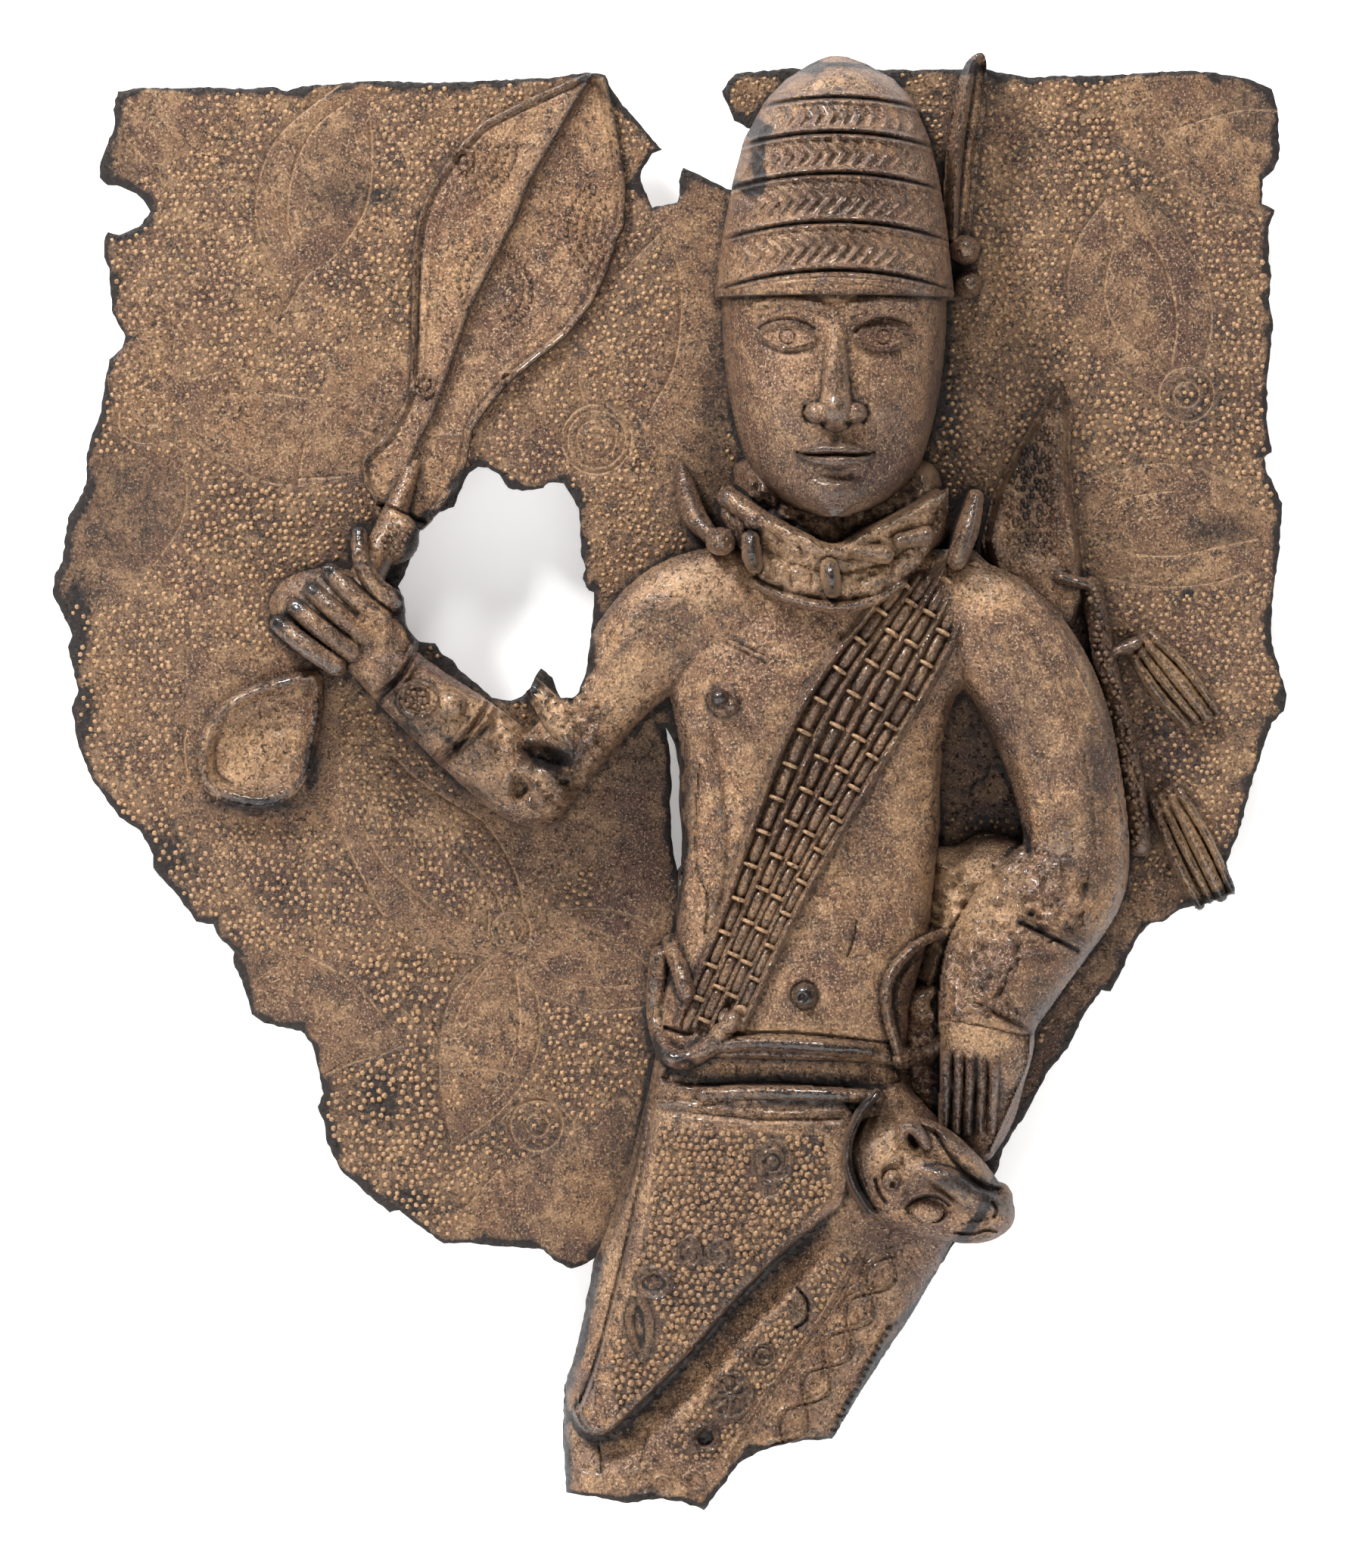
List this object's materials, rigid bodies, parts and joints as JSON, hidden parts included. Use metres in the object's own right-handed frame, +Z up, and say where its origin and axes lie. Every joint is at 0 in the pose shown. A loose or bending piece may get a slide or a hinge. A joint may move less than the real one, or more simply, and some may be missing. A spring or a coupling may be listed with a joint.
{
  "type": "relief plaque",
  "caption": "Broken fragment of a cast brass wall plaque: a thin dotted ground plate with a standing warrior in high relief who lifts a broad ceremonial sword, made to be fixed flat on a wall.",
  "frame": {"origin": "hanging point on the flat back of the ground plate, between the sword and the head", "axes": "+Z up the plaque, +Y out of the flat back towards the wall, -Y the way the figure faces, +X to the viewer's right"},
  "size_m": [0.326, 0.0547, 0.3828],
  "materials": {
    "cast_brass": "old lost-wax cast brass under a dusty brown patina, worn dark and glossy on the high points"
  },
  "bodies": {
    "root": {"relief_plaque": "cast_brass"}
  },
  "joints": []
}
